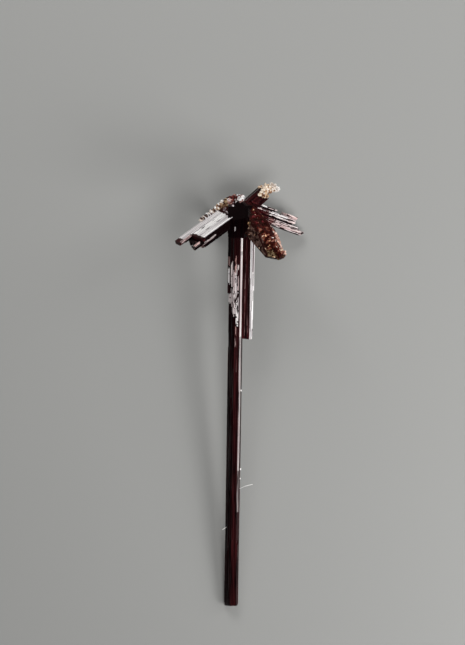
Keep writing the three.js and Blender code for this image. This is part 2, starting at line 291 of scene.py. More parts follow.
# Each splinter: its left and right, its front and back, how far down it ends, and the
# tilt and bearing of that end.
SPLINTERS = [
    ((-0.99, -0.66), (-0.14, 0.24), 6.35, 30, 90),
    ((-0.8, -0.54), (-0.34, 0.0), 5.9, 30, 90),
    ((-0.58, -0.34), (-0.52, -0.1), 8.0, 30, 90),
    ((-0.33, -0.13), (-0.54, -0.2), 8.9, 30, 90),
    ((-0.5, -0.1), (0.2, 0.56), 7.4, 30, 90),
    ((0.72, 1.0), (-0.02, 0.22), 6.4, 40, 180),
    ((0.66, 0.98), (-0.12, 0.1), 5.0, 50, 180),
]
SPLINTER_FACET = 0.03
SPLINTER_LOOKS = {"red": 0.3}

# Strips on the splinters and on the stem beside them, etched, and pale with painted highlights
# where they catch the light, from the left: its left and right side, how far back its front is,
# where it starts and stops down the stem, and how pale and sheened, pitted and red it is.
ETCHED_SHEEN_STRIPS = [
    (-0.95, -0.83, -0.15, 3.7, 4.35, 0.55, 0.4, 0.9),
    (-0.95, -0.82, -0.15, 4.4, 5.65, 1.0, 0.1, 0.2),
    (-0.75, -0.59, -0.35, 4.0, 5.85, 1.0, 0.35, 0.45),
    (-0.88, -0.82, -0.08, 6.6, 7.15, 0.7, 0.4, 0.5),
    (-0.81, -0.75, -0.12, 6.2, 7.2, 0.9, 0.3, 0.4),
    (-0.74, -0.68, -0.19, 5.9, 7.2, 1.0, 0.5, 0.4),
    (-0.68, -0.62, -0.24, 5.9, 7.4, 1.0, 0.55, 0.5),
    (-0.62, -0.57, -0.29, 5.9, 7.8, 1.0, 0.6, 0.4),
    (-0.56, -0.46, -0.53, 4.6, 8.0, 0.85, 0.7, 0.45),
    (-0.45, -0.34, -0.53, 3.5, 3.95, 0.5, 0.7, 1.0),
    (-0.45, -0.31, -0.53, 3.95, 4.6, 0.7, 0.7, 0.9),
    (-0.45, -0.34, -0.53, 4.6, 8.0, 1.0, 0.74, 0.4),
    (-0.33, -0.27, -0.55, 4.5, 8.9, 1.0, 0.76, 0.35),
    (-0.26, -0.14, -0.55, 4.0, 6.2, 0.8, 0.86, 0.5),
    (-0.26, -0.14, -0.55, 6.2, 8.9, 0.9, 0.82, 0.35),
    (-0.36, -0.26, -0.46, 8.9, 9.7, 0.55, 0.6, 0.9),
    (-0.38, -0.3, -0.46, 9.7, 10.4, 0.4, 0.5, 0.8),
    (-0.3, -0.22, -0.46, 8.7, 12.5, 0.2, 0.0, 0.8),
    (0.3, 0.38, -0.25, 2.2, 9.6, 0.2, 0.0, 0.7),
    (0.5, 0.6, -0.26, 3.0, 9.7, 0.22, 0.0, 0.7),
]
# The strips of it: how wide they are, how wide the groove beside each is, in widths, how
# far they stand proud, how deep they are rooted, how wide their cut corners are, and the
# tilt and bearing of their ends.
STRIP_WIDTH = 0.05
STRIP_GROOVE = 0.1
STRIP_PROUD = 0.012
STRIP_ROOT = 0.08
STRIP_FACET = 0.008
STRIP_BREAK = (50, 270)
# How far the first and the last ends of a row of strips stray, how long each strip is, how
# short it may be, and how long the gap after it.
FIRST_STRAY = 0.15
LAST_STRAY = 0.2
STRIP_LENGTH = (0.4, 1.6)
SHORTEST_STRIP = 0.1
STRIP_GAP = (0.02, 0.12)


def side_looks(normal, middle):
    """Its right-hand facet is pale, a painted highlight of the light on its right, and the rest is
    dark red.
    """
    on_facet = normal.x < -0.4 and normal.y < -0.3 and middle.x < -0.6
    return {"silky": 0.85} if on_facet else {"red": 0.9}


def right_splinter_looks(normal, middle):
    """Its front is pale, a painted highlight, and it is etched a little all round."""
    return {"silky": 0.95 if normal.y < 0 else 0.3, "pitted": 0.3}


def bar(x, y, facet):
    """A rectangle whose four corners are cut by narrow facets."""
    (x0, x1), (y0, y1), f = x, y, facet
    return [
        (x0 + f, y0),
        (x1 - f, y0),
        (x1, y0 + f),
        (x1, y1 - f),
        (x1 - f, y1),
        (x0 + f, y1),
        (x0, y1 - f),
        (x0, y0 + f),
    ]


grown += ledged(
    rng, SIDE_OUTLINE, -STEM_TOP, SIDE_LENGTH, SIDE_BREAK, SIDE_LEDGES, 0.5, side_looks
)
for x, y, to, tilt, bearing in SPLINTERS:
    looks = SPLINTER_LOOKS if x[0] < 0 else right_splinter_looks
    outline = mirrored(bar(x, y, SPLINTER_FACET))
    grown.append(prism(outline, -STEM_TOP, to, DOWN, tilt, bearing, rng.random(), looks))


def etched(rng, x0, x1, front, low, high, silky, pitted, red, place):
    """Strips that stand proud of a front face, broken off here and there."""
    looks = {"silky": silky, "pitted": pitted, "red": red}
    made = []
    strips = round((x1 - x0) / STRIP_WIDTH)
    for k in range(strips):
        x = tuple(x0 + (x1 - x0) * (k + t) / strips for t in (STRIP_GROOVE, 1))
        y = (front - rng.uniform(0, STRIP_PROUD), front + STRIP_ROOT)
        outline = bar(x, y, STRIP_FACET)
        start = low + rng.uniform(-FIRST_STRAY, FIRST_STRAY)
        while start < high:
            stop = start + rng.uniform(*STRIP_LENGTH)
            stop = min(stop, high + rng.uniform(-LAST_STRAY, LAST_STRAY))
            if stop - start > SHORTEST_STRIP:
                made.append(prism(outline, start, stop, place, *STRIP_BREAK, rng.random(), looks))
            start = stop + rng.uniform(*STRIP_GAP)
    return made


for x0, x1, *rest in ETCHED_SHEEN_STRIPS:
    grown += etched(rng, -x1, -x0, *rest, DOWN)


# ---- The knot ----
# The stout lump of rutile that fills the corners between the arms and the top of
# the stem, nearly level on top and sloping down to its front.

# It is grown up to a raw top, and then cut back to its top and to the slope at its front.
KNOT_TOP = 0.42
KNOT_TOP_NORMAL = (-0.08, 0, 1)
KNOT_RAW_TOP = KNOT_TOP + 0.3
KNOT_LENGTH = 1.65
KNOT_BREAK = (6, 95)
KNOT_LEDGES = (KNOT_LENGTH - 0.15, 0.14, 1.4)
KNOT_SLOPE = (-0.1, -0.6, 0.8)
KNOT_SLOPE_START = (-0.9, -0.75, 0.1)
KNOT_OUTLINE = [
    (-1.02, 0.1),
    (-1.04, -1.15),
    (-0.62, -1.46),
    (0.2, -1.42),
    (0.65, -0.95),
    (0.85, -0.2),
    (0.8, 0.35),
    (0.2, 0.68),
    (-0.7, 0.6),
]
# A nick low on its front, its brightness a painted glint: its left and right, its front and back,
# and how far down it starts and stops.
NICK = ((-0.53, -0.43), (-1.475, -1.36), 0.88, 1.2)
NICK_GLINT_LOOKS = {"silky": 0.6}
# The knot is all but black, partly its own colour and partly painted shade from the arms over it,
# and too rough to shine.
SHADED_BLACK_LOOKS = {"red": 0.0, "dull": 0.9}


def combined(first, others, operation):
    """The first mesh with the others joined to it, cut from it, or as all that it keeps.
    Every face keeps what it carries."""
    base = bpy.data.objects.new("base", first)
    group = bpy.data.collections.new("others")
    bpy.context.scene.collection.objects.link(base)
    bpy.context.scene.collection.children.link(group)
    for mesh in others:
        group.objects.link(bpy.data.objects.new("other", mesh))
    step = base.modifiers.new("step", "BOOLEAN")
    step.operation = operation
    step.operand_type = "COLLECTION"
    step.collection = group
    step.solver = "MANIFOLD"
    made = bpy.data.meshes.new_from_object(
        base.evaluated_get(bpy.context.evaluated_depsgraph_get())
    )
    for other in list(group.objects) + [base]:
        bpy.data.objects.remove(other)
    bpy.data.collections.remove(group)
    return made


def joined(meshes):
    """Meshes that overlap, as one solid."""
    return combined(meshes[0], meshes[1:], "UNION")


def beyond(normal, point, tone=0.5, looks=None):
    """A block that fills what lies beyond a plane."""
    size = 12
    return prism(square(size), 0, size, set_on(point, normal), tone=tone, looks=looks)


knot = joined(
    ledged(rng, KNOT_OUTLINE, -KNOT_RAW_TOP, KNOT_LENGTH, KNOT_BREAK, KNOT_LEDGES, 0, SHADED_BLACK_LOOKS)
)
above_top = beyond(KNOT_TOP_NORMAL, (0, 0, KNOT_TOP), 0, SHADED_BLACK_LOOKS)
above_slope = beyond(KNOT_SLOPE, KNOT_SLOPE_START, 0, SHADED_BLACK_LOOKS)
grown.append(combined(knot, [above_top, above_slope], "DIFFERENCE"))
x, y, start, stop = NICK
nick = mirrored(bar(x, y, SPLINTER_FACET))
grown.append(prism(nick, start, stop, DOWN, tilt=40, bearing=200, looks=NICK_GLINT_LOOKS))


# ---- The arms ----
# Twinned arms of rutile, four at quarter turns that droop from the head and one that
# runs on upwards. Each is a bundle of blades grown side by side, and every blade is
# split along its length into laths that end at different places.

# In degrees: which way the right arm points, how far the twinned arms droop, and how
# the rising one stands over the right one and is turned about its length.
TWIN_AZIMUTH = 36.6
TWIN_DROOP = 24.4
RISING_ANGLE = 30
RISING_ROLL = -20
RIGHT_LENGTH = 6.2
LEFT_LENGTH = 5.38
FRONT_LENGTH = 5.3
BACK_LENGTH = 4.65
RISING_LENGTH = 2.5
ARM_ROOT = -0.4
BACK_ROOT = -0.1
RISING_ROOT = -1
# How wide a lath is, how far its outer faces may be set back, how wide its cut corners
# are, how much it overlaps those above and below, in heights, how far its sides stray, in
# widths, how far the bearing of its end does, in degrees, and where it starts, in bare
# roots. Then how far in a blade's core lies from its outside.
LATH_WIDTH = 0.17
LATH_SET_BACK = 0.035
LATH_FACET = 0.018
LATH_OVERLAP = 0.1
LATH_LEFT_STRAY = (-0.25, 0.25)
LATH_RIGHT_STRAY = (0, 0.2)
LATH_TURN = 30
LATH_START = (0.92, 1.04)
CORE_INSET = 0.05
CORE_FACET = 0.02
CORE_LOOKS = {"dull": 0.9, "red": 0.8}
# Fine strips along a lath: how wide they are, how far their edges stray, in widths, and
# how deep they step.
STRIA_PITCH = 0.05
STRIA_STRAY = 0.3
STRIA_DEPTH = 0.012


def arm_frame(azimuth, rise, roll=0):
    """Z runs out along the arm, Y is its upper side, and X is level."""
    a, r = math.radians(azimuth), math.radians(rise)
    out = Vector((math.cos(r) * math.cos(a), math.cos(r) * math.sin(a), math.sin(r)))
    side = Vector((-math.sin(a), math.cos(a), 0))
    side.rotate(Quaternion(out, math.radians(roll)))
    return Matrix((side, out.cross(side), out)).transposed().to_4x4()


right_frame = arm_frame(TWIN_AZIMUTH, -TWIN_DROOP)
back_frame = arm_frame(TWIN_AZIMUTH + 90, -TWIN_DROOP)
left_frame = arm_frame(TWIN_AZIMUTH + 180, -TWIN_DROOP)
front_frame = arm_frame(TWIN_AZIMUTH - 90, -TWIN_DROOP)
rising_frame = arm_frame(TWIN_AZIMUTH, RISING_ANGLE, RISING_ROLL)


def striated(rng, outline):
    """The outline with fine strips along its sides, each leaning a little."""
    points = []
    for start, run, inward in sides(outline):
        strips = round(run.length / STRIA_PITCH)
        points.append(tuple(start))
        strays = [rng.uniform(-STRIA_STRAY, STRIA_STRAY) for _ in range(1, strips)]
        edges = [(k + stray) / strips for k, stray in enumerate(strays, 1)]
        for t0, t1 in zip(edges, edges[1:]):
            for t in (t0, t1):
                points.append(tuple(start + run * t + inward * STRIA_DEPTH * rng.random()))
    return points


def blade(rng, place, x, y, to, tilt, bearing, looks, drop, low=ARM_ROOT, heart=0.5, bare=0):
    """One blade: a core, and the laths that its outside is split into. The laths end
    within drop of the blade's end, and the core ends at heart times drop from it. Where
    heart is 0, no lath reaches that end. Its root is bare of laths for some way."""
    wide, high = x[1] - x[0], y[1] - y[0]
    middle = ((x[0] + x[1]) / 2, (y[0] + y[1]) / 2)
    across = max(2, round(wide / LATH_WIDTH))
    up = max(2, round(high / LATH_WIDTH))
    core = bar(
        (x[0] + CORE_INSET, x[1] - CORE_INSET), (y[0] + CORE_INSET, y[1] - CORE_INSET), CORE_FACET
    )
    made = [prism(core, low, to - heart * drop, place, tilt, bearing, tone=0.2, looks=CORE_LOOKS)]
    whole = rng.randrange(across)
    for i in range(across):
        for j in range(up):
            if 0 < i < across - 1 and 0 < j < up - 1:
                continue
            leftmost, rightmost, lowest, uppermost = i == 0, i == across - 1, j == 0, j == up - 1
            start = i if leftmost else i + rng.uniform(*LATH_LEFT_STRAY)
            stop = i + 1 if rightmost else i + 1 + rng.uniform(*LATH_RIGHT_STRAY)
            x0 = x[0] + wide * start / across
            x1 = x[0] + wide * stop / across
            y0 = y[0] + high * (j if lowest else j - LATH_OVERLAP) / up
            y1 = y[0] + high * (j + 1 if uppermost else j + 1 + LATH_OVERLAP) / up
            back = rng.uniform(0, LATH_SET_BACK)
            x0, x1 = x0 + back * leftmost, x1 - back * rightmost
            y0, y1 = y0 + back * lowest, y1 - back * uppermost
            spot = ((x0 + x1) / 2, (y0 + y1) / 2)
            end = break_height(spot, middle, to, tilt, bearing)
            if heart == 0:
                end -= drop * rng.uniform(0.6, 1)
            elif i != whole:
                end -= drop * rng.random() ** 1.6
            lath = striated(rng, bar((x0, x1), (y0, y1), LATH_FACET))
            root = low + bare * rng.uniform(*LATH_START)
            way = bearing + rng.uniform(-LATH_TURN, LATH_TURN)
            made.append(prism(lath, root, end, place, tilt, way, rng.random(), looks))
    return made


def left_looks(normal, middle):
    """Its upper faces are pale, a painted highlight, its sides black, painted shade, and its ends
    dark red, but for the pale ends of the thin blades underneath, also painted highlights."""
    if normal.z > 0.7:
        pale = middle.x > -0.2 and middle.y < 0.1
        return {"silky": 0.6 * pale, "pitted": 0.5, "red": 0.9, "dull": 1.0}
    silky = 1.0 if normal.y > 0.7 and middle.y > 0.2 else 0.0
    return {"silky": silky, "pitted": 0.4, "red": 0.0}


def right_looks(normal, middle):
    """It is etched mauve all over, with dark pits, but for the brown-red ends of all but
    its lowest blade."""
    if normal.z > 0.7 and middle.y > 0:
        return {"silky": 0.25, "red": 1.0, "dull": 0.8}
    return {"silky": 0.7, "pitted": 0.85, "red": 0.5}


def rising_looks(normal, middle):
    """It is dark red, and pale on one side, a painted highlight."""
    return {"silky": 0.6 if normal.x > 0.5 else 0.0, "red": 0.6, "dull": 0.3}


# Each arm's blades: its left and right in the arm's frame, its underside and upper side,
# how far out it ends, and the tilt and bearing of that end. For the left arm, then how
# far short of that its laths end, and the share of it by which its core does.
LEFT_BLADES = [
    ((-1.5, -0.8), (0.02, 0.4), LEFT_LENGTH, 6, 90, 0.5, 0),
    ((-0.84, 0.6), (-0.04, 0.37), LEFT_LENGTH - 1.15, 4, 0, 0.22, 0),
    ((0.02, 0.61), (-0.14, 0.08), LEFT_LENGTH - 0.28, 12, 200, 0.15, 0.5),
    ((-0.12, 0.58), (-0.43, -0.1), LEFT_LENGTH - 1.02, 20, 80, 0.2, 0.5),
    ((-1.2, -0.05), (-0.4, 0.06), LEFT_LENGTH - 0.78, 15, 120, 0.2, 0.5),
]
LEFT_BARE_ROOT = 1.65
# Pale streaks, painted highlights, on its long blade's side and on the thin blades underneath: the
# turn from the upper side to the side they are on, and then as for the stem.
LEFT_STREAKS = [
    (90, 0.2, 0.38, 0.79, 4.2, 5.1, 0.8, 0.75, 0.65),
    (180, -0.42, -0.18, -0.09, 4.45, 4.8, 1.0, 0.4, 0.85),
    (90, -0.14, 0.03, -0.61, 3.2, 4.1, 0.45, 0.7, 0.5),
]
# For the right arm, then where each blade starts, how far short its laths end, and its
# looks.
BLOCK_LOOKS = {"silky": 0.95, "pitted": 0.6, "red": 0.7}
RIGHT_BLADES = [
    ((-0.38, 0.3), (0.77, 0.91), RIGHT_LENGTH - 3.3, 20, 70, 1.2, 0.4, right_looks),
    ((-0.38, 0.32), (0.5, 0.88), RIGHT_LENGTH - 1.12, 20, 270, 3.95, 0.15, BLOCK_LOOKS),
    ((-0.42, 0.34), (0.27, 0.69), RIGHT_LENGTH - 1.1, 12, 120, 0.3, 0.3, right_looks),
    ((-0.4, 0.38), (-0.01, 0.19), RIGHT_LENGTH - 0.5, 10, 160, ARM_ROOT, 0.3, right_looks),
    ((-0.43, 0.4), (-0.33, 0.02), RIGHT_LENGTH - 0.16, 36, 270, ARM_ROOT, 0.1, right_looks),
]
# The black hearts that show in the grooves between its blades, and along its underside, their
# black partly painted shade in the grooves:
# across, up, where each starts and where it stops.
RIGHT_SHADED_HEARTS = [
    ((-0.3, 0.26), (0.5, 0.85), 0.4, RIGHT_LENGTH - 3.4),
    ((-0.3, 0.3), (0.1, 0.5), ARM_ROOT, RIGHT_LENGTH - 1.4),
    ((-0.41, -0.27), (-0.38, -0.25), 1.5, RIGHT_LENGTH - 0.5),
]
# Streaks on the side of it that faces the front, dark red at its root, partly its own stain and
# partly painted shade where the front arm shades it, and paler further out, with one short bright
# streak near the root that is a painted glint: how far down their top and their bottom are, how
# far back the face is, and then as for the stem.
RIGHT_STREAKS = [
    (-0.9, -0.78, -0.385, 1.35, 1.75, 1.0, 0.2, 0.3),
    (-0.88, -0.78, -0.385, 2.1, 2.75, 0.8, 0.7, 0.6),
    (-0.64, -0.53, -0.48, 1.05, 1.3, 1.0, 0.0, 0.55),
    (-0.9, -0.72, -0.41, 0.3, 1.2, 0.0, 0.0, 1.0),
    (-0.7, -0.5, -0.445, 0.3, 1.7, 0.0, 0.0, 1.0),
    (-0.5, -0.28, -0.445, 0.3, 1.95, 0.0, 0.5, 1.0),
    (-0.2, 0.1, -0.445, 0.3, 2.35, 0.0, 0.5, 1.0),
    (0.1, 0.33, -0.45, 0.3, 2.6, 0.0, 0.5, 1.0),
    (-0.68, -0.3, -0.44, 1.7, 2.3, 0.3, 0.9, 1.0),
    (-0.2, 0.3, -0.44, 2.4, 3.0, 0.35, 0.9, 1.0),
    (-0.66, -0.5, -0.425, 1.5, 4.0, 1.0, 0.3, 0.3),
    (-0.44, -0.34, -0.425, 2.3, 4.3, 0.9, 0.7, 0.4),
    (-0.72, -0.56, -0.385, 4.05, 4.9, 1.0, 0.5, 0.55),
    (-0.46, -0.32, -0.43, 4.3, 5.0, 1.0, 0.5, 0.6),
    (-0.17, -0.1, -0.405, 2.3, 5.3, 1.0, 0.7, 0.42),
    (-0.07, 0.0, -0.405, 2.4, 5.0, 0.9, 0.8, 0.6),
    (0.03, 0.1, -0.435, 2.4, 5.85, 1.0, 0.7, 0.6),
    (0.14, 0.21, -0.435, 2.2, 5.75, 1.0, 0.7, 0.65),
    (0.25, 0.29, -0.435, 4.2, 5.7, 1.0, 0.4, 0.4),
]
BACK_LOOKS = {"silky": 0.55, "pitted": 0.5, "red": 0.4}
BACK_BLADES = [
    ((-0.5, 0.1), (-0.4, 0.3), BACK_LENGTH, 15, 60),
    ((0.0, 0.5), (-0.46, 0.12), BACK_LENGTH - 0.5, 12, 200),
    ((-0.3, 0.44), (0.05, 0.42), BACK_LENGTH - 1.1, 18, 20),
]
RISING_BLADES = [
    ((-0.35, 0.3), (-0.3, 0.44), RISING_LENGTH - 0.3, 15, 200),
    ((-0.3, 0.35), (-0.66, -0.25), RISING_LENGTH - 0.25, 15, 250),
]
streak_rng = random.Random(4)
for *shape, drop, heart in LEFT_BLADES:
    grown += blade(rng, left_frame, *shape, left_looks, drop, heart=heart, bare=LEFT_BARE_ROOT)
for turn, *streak in LEFT_STREAKS:
    side = left_frame @ Matrix.Rotation(math.radians(turn), 4, "Z")
    grown += etched(streak_rng, *streak, side)
for *shape, low, drop, looks in RIGHT_BLADES:
    grown += blade(rng, right_frame, *shape, looks, drop, low)
for x, y, low, to in RIGHT_SHADED_HEARTS:
    grown.append(prism(bar(x, y, CORE_FACET), low, to, right_frame, looks=SHADED_BLACK_LOOKS))
side = right_frame @ Matrix.Rotation(math.radians(-90), 4, "Z")
for streak in RIGHT_STREAKS:
    grown += etched(rng, *streak, side)
for shape in BACK_BLADES:
    grown += blade(rng, back_frame, *shape, BACK_LOOKS, drop=0.4, low=BACK_ROOT)
for shape in RISING_BLADES:
    grown += blade(rng, rising_frame, *shape, rising_looks, drop=0.2, low=RISING_ROOT)


# ---- The front arm ----
# The stoutest arm, broad and deep red at its root. Its upper left edge and its lower
# corner broke off, and it thins towards its right side.

# Its blades, as for the other arms.
FRONT_BLADES = [
    ((-0.66, 0.2), (-0.68, 0.3), FRONT_LENGTH - 0.1, 10, 40),
    ((-0.1, 0.58), (-0.5, 0.45), FRONT_LENGTH, 12, 30),
    ((-0.62, 1.0), (0.1, 0.66), FRONT_LENGTH - 0.2, 15, 60),
    ((0.3, 1.34), (-0.1, 0.6), FRONT_LENGTH - 1, 15, 60),
]
# The planes that it ends at, each the way it faces and a point of it: the fracture along
# its upper left edge, the side that it thins towards, the side by its root that the right
# arm grew across, and its broken lower corner.
FRACTURE_NORMAL = Vector((-1, 1, 0.5)).normalized()
FRACTURE_START = Vector((-0.66, 0.66, 2.8))
THINNED_NORMAL = Vector((1, 1, 0.36)).normalized()
THINNED_START = Vector((1.34, 0.6, 0.7))
NARROW_NORMAL = Vector((1, 1, 0)).normalized()
NARROW_START = Vector((0.6, 0.57, 1.5))
CORNER_NORMAL = Vector((-0.6, -1, 1)).normalized()
CORNER_START = Vector((-0.66, -0.68, FRONT_LENGTH - 0.6))
PLANES = [
    (FRACTURE_NORMAL, FRACTURE_START),
    (THINNED_NORMAL, THINNED_START),
    (NARROW_NORMAL, NARROW_START),
    (CORNER_NORMAL, CORNER_START),
]
# The knot's slope cuts it at its root, as far to the right as this.
SLOPED_ROOT_RIGHT = 0.45


def front_looks(normal, middle):
    """Black on its left, partly painted shade under the knot and the arms, and dark red on its
    right, where its crust is thin.
    """
    return {"red": 0.9 if middle.x > 0.1 else 0.1, "dull": 0.8}


front = []
for shape in FRONT_BLADES:
    front += blade(rng, Matrix(), *shape, front_looks, drop=0.15)
missing = [beyond(normal, point, looks=front_looks) for normal, point in PLANES]
front = combined(joined(front), missing, "DIFFERENCE")
grown_out = list((LAID @ front_frame).to_3x3().col[2].normalized())
front.attributes["growth"].data.foreach_set("vector", grown_out * len(front.polygons))
front.transform(front_frame)
left_of_root = prism(
    [(-3, -4), (SLOPED_ROOT_RIGHT, -4), (SLOPED_ROOT_RIGHT, 2), (-3, 2)], -3, 3, Matrix()
)
above_root = combined(above_slope, [left_of_root], "INTERSECT")
grown.append(combined(front, [above_root], "DIFFERENCE"))


# ---- The whole crystal ----
# Rutile, titanium oxide that iron has stained, grown as one piece: adamantine, so
# nearly as glossy as metal, and dark red in the body. It is pale where its growth ledges
# are fine, partly etching and partly painted sheen and highlights, and its shaded sides
# are painted black. It rests on worn flats on the foot and two arm tips.


def linear(colour):
    """An sRGB hex colour as linear RGBA."""
    parts = [int(colour[i : i + 2], 16) / 255 for i in (1, 3, 5)]
    bent = [c / 12.92 if c <= 0.04045 else ((c + 0.055) / 1.055) ** 2.4 for c in parts]
    return (*bent, 1)


def add(tree, kind, output, inputs=None, **settings):
    """Adds a node with its settings, gives each input a value or a link, and returns
    one of its outputs."""
    made = tree.nodes.new("ShaderNode" + kind)
    for name, value in settings.items():
        setattr(made, name, value)
    for name, value in (inputs or {}).items():
        if isinstance(value, bpy.types.NodeSocket):
            tree.links.new(value, made.inputs[name])
        else:
            made.inputs[name].default_value = value
    return made.outputs[output]


def new_material(name):
    """A material with its Principled shader, and the tree to add nodes to."""
    material = bpy.data.materials.new(name)
    material.use_nodes = True
    return material, material.node_tree, material.node_tree.nodes["Principled BSDF"]


# Colours of the body and of its pale skin. The skin's white and blush are partly etching and
# partly painted sheen and highlights.
RUTILE_BLACK = linear("#050203")
RUTILE_RED = linear("#421719")
SILK_GREY = linear("#aca4a6")
SILK_WHITE = linear("#fbf8f6")
SILK_BLUSH = linear("#c88478")

rutile, tree, shader = new_material("rutile_grown_with_ledges")
place = add(tree, "TexCoord", "Object")
growth = add(tree, "Attribute", "Vector", attribute_name="growth")
tone, silky, pitted, dull, red = (
    add(tree, "Attribute", "Fac", attribute_name=name)
    for name in ("tone", "silky", "pitted", "dull", "red")
)
# Every place in millimetres, split into what lies along the growth and across it.
mm = add(tree, "VectorMath", 0, {0: place, "Scale": 1 / MM}, operation="SCALE")
distance = add(tree, "VectorMath", "Value", {0: mm, 1: growth}, operation="DOT_PRODUCT")
along = add(tree, "VectorMath", 0, {0: growth, "Scale": distance}, operation="SCALE")
across = add(tree, "VectorMath", 0, {0: mm, 1: along}, operation="SUBTRACT")


def drawn_out(across_scale, along_scale, detail):
    """Noise drawn out along the growth: both scales are features a millimetre."""
    a = add(tree, "VectorMath", 0, {0: across, "Scale": across_scale}, operation="SCALE")
    b = add(tree, "VectorMath", 0, {0: along, "Scale": along_scale}, operation="SCALE")
    both = add(tree, "VectorMath", 0, {0: a, 1: b}, operation="ADD")
    return add(tree, "TexNoise", "Fac", {"Vector": both, "Scale": 1.0, "Detail": detail})


# Growth lines some 0.1 mm apart, finer ones that run the length of an arm, and pits of
# about 0.1 by 0.4 mm.
striae = drawn_out(9.0, 0.35, 2.0)
lines = drawn_out(15.0, 0.2, 1.0)
pits = drawn_out(11.0, 1.6, 2.0)

# The body: black, with dark red streaks where it is red.
streak = add(tree, "MapRange", 0, {"Value": striae, "From Min": 0.35, "From Max": 0.65})
stained = add(tree, "MapRange", 0, {"Value": red, "To Min": 0.05})
maroon = add(tree, "Math", 0, {0: streak, 1: stained}, operation="MULTIPLY")
body = add(tree, "Mix", 2, {0: maroon, 6: RUTILE_BLACK, 7: RUTILE_RED}, data_type="RGBA")

# Its pale skin, partly etching and partly painted sheen and highlights: how much of each face it
# covers, less its pits.
cover = add(tree, "Math", 0, {0: tone, 1: 0.15, 2: striae}, operation="MULTIPLY_ADD")
cover = add(tree, "Math", 0, {0: silky, 1: 0.8, 2: cover}, operation="MULTIPLY_ADD")
cover = add(tree, "MapRange", 0, {"Value": cover, "From Min": 0.75, "From Max": 0.95})
cover = add(tree, "Math", 0, {0: cover, 1: silky}, operation="MULTIPLY")
depth = add(tree, "MapRange", 0, {"Value": pitted, "To Min": -0.06, "To Max": 0.29})
depth = add(tree, "Math", 0, {0: tone, 1: 0.12, 2: depth}, operation="MULTIPLY_ADD")
depth = add(tree, "Math", 0, {0: depth, 1: pits}, operation="ADD")
unpitted = add(tree, "MapRange", 0, {"Value": depth, "From Min": 0.84, "From Max": 0.76})
skin = add(tree, "Math", 0, {0: cover, 1: unpitted}, operation="MULTIPLY")

# The skin's colour: grey to white from line to line, and mauve where it is red.
silver = add(tree, "Math", 0, {0: tone, 1: 0.2, 2: lines}, operation="MULTIPLY_ADD")
silver = add(tree, "MapRange", 0, {"Value": silver, "From Min": 0.48, "From Max": 0.72})
silver = add(tree, "Mix", 2, {0: silver, 6: SILK_GREY, 7: SILK_WHITE}, data_type="RGBA")
blush = add(tree, "MapRange", 0, {"Value": red, "From Min": 0.3, "To Max": 0.7})
silver = add(tree, "Mix", 2, {0: blush, 6: silver, 7: SILK_BLUSH}, data_type="RGBA")
colour = add(tree, "Mix", 2, {0: skin, 6: body, 7: silver}, data_type="RGBA")
tree.links.new(colour, shader.inputs["Base Color"])

# The body is glossy, and the skin and the dull faces scatter light. The dull ones are
# rough enough to trap most of what they would mirror.
roughness = add(tree, "Math", 0, {0: skin, 1: dull}, operation="MAXIMUM")
roughness = add(tree, "MapRange", 0, {"Value": roughness, "To Min": 0.13, "To Max": 0.45})
tree.links.new(roughness, shader.inputs["Roughness"])
gloss = add(tree, "MapRange", 0, {"Value": dull, "To Min": 0.5, "To Max": 0.04})
tree.links.new(gloss, shader.inputs["Specular IOR Level"])
relief = add(tree, "Math", 0, {0: striae, 1: lines}, operation="ADD")
bump = add(tree, "Bump", 0, {"Height": relief, "Strength": 0.3, "Distance": 0.03 * MM})
tree.links.new(bump, shader.inputs["Normal"])
# A clean cut of rutile has an index near 2.7. Grown faces mirror less than that.
shader.inputs["IOR"].default_value = 1.65

# The ground that its flats are worn on, in millimetres.
HALF_GROUND = 50
GROUND_DEPTH = 10

crystal_mesh = joined(grown)
crystal_mesh.transform(LAID)
ground = prism(square(HALF_GROUND), -GROUND_DEPTH, 0, Matrix.Scale(MM, 4))
crystal_mesh = combined(crystal_mesh, [ground], "DIFFERENCE")


def largest_part(mesh):
    """Deletes whatever isn't joined to the largest part of a mesh."""
    shape = bmesh.new()
    shape.from_mesh(mesh)
    left, parts = set(shape.verts), []
    while left:
        part, edge = set(), [left.pop()]
        while edge:
            vertex = edge.pop()
            part.add(vertex)
            near = {link.other_vert(vertex) for link in vertex.link_edges} & left
            left -= near
            edge += near
        parts.append(part)
    largest = max(parts, key=len)
    loose = [v for v in shape.verts if v not in largest]
    bmesh.ops.delete(shape, geom=loose, context="VERTS")
    shape.to_mesh(mesh)
    shape.free()


def piece(name, mesh, material, node):
    """Puts a finished mesh in the scene, in place of its CAD node."""
    largest_part(mesh)
    mesh.materials.clear()
    mesh.materials.append(material)
    made = bpy.data.objects.new(name, mesh)
    bpy.context.scene.collection.objects.link(made)
    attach(made, "root")
    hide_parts(node)


piece("rutile_crystal", crystal_mesh, rutile, "rutile_twin")


# ---- The crest grains ----
# Angular grains of the pale rock that the crystal grew in, feldspar and quartz, stuck
# along the back edge of the left arm and over the knot.

